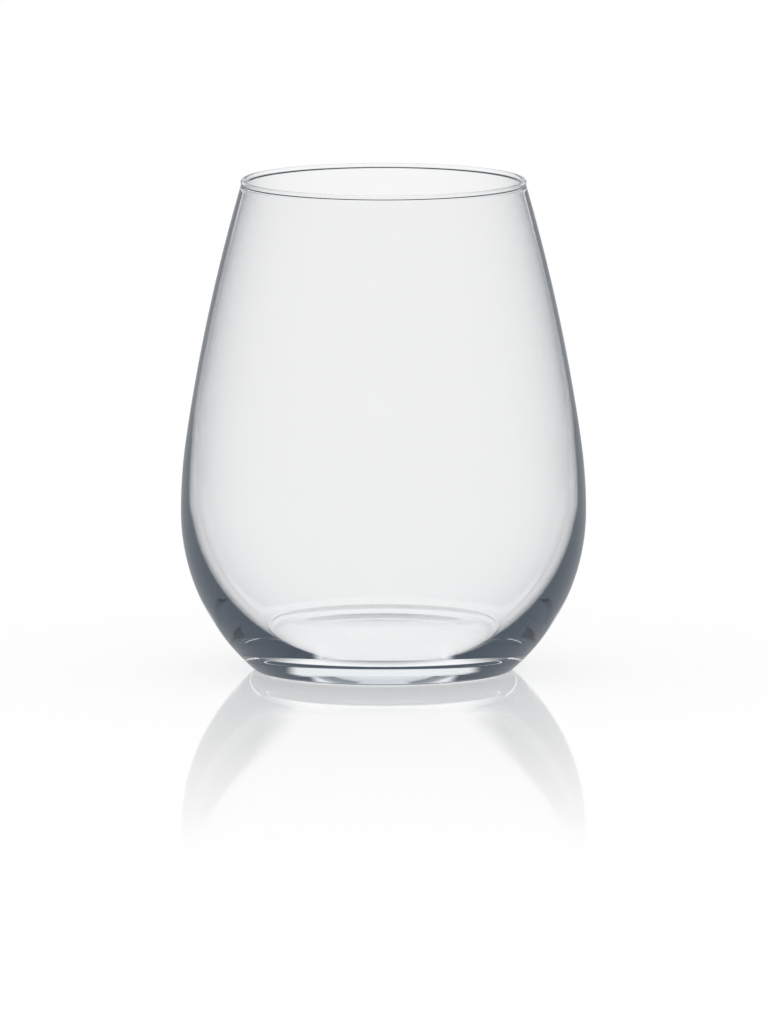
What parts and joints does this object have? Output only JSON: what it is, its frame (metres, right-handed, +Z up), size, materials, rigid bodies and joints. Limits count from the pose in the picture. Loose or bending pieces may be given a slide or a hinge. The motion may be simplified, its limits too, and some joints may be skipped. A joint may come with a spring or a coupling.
{
  "type": "water tumbler",
  "caption": "Stemless water tumbler of clear glass: solid rounded base, full belly, and a thin wall that tapers to a narrower mouth with a polished bead.",
  "frame": {"origin": "centre of the foot, at the height of the table that it stands on", "axes": "+Z up along the glass's axis of turning; the glass is round, so X and Y are free"},
  "size_m": [0.0904, 0.0904, 0.11],
  "materials": {
    "glass": "fire-polished clear glass"
  },
  "bodies": {
    "root": {"heavy_base": "glass", "belly_wall": "glass", "side_wall": "glass", "rim_bead": "glass"}
  },
  "joints": []
}
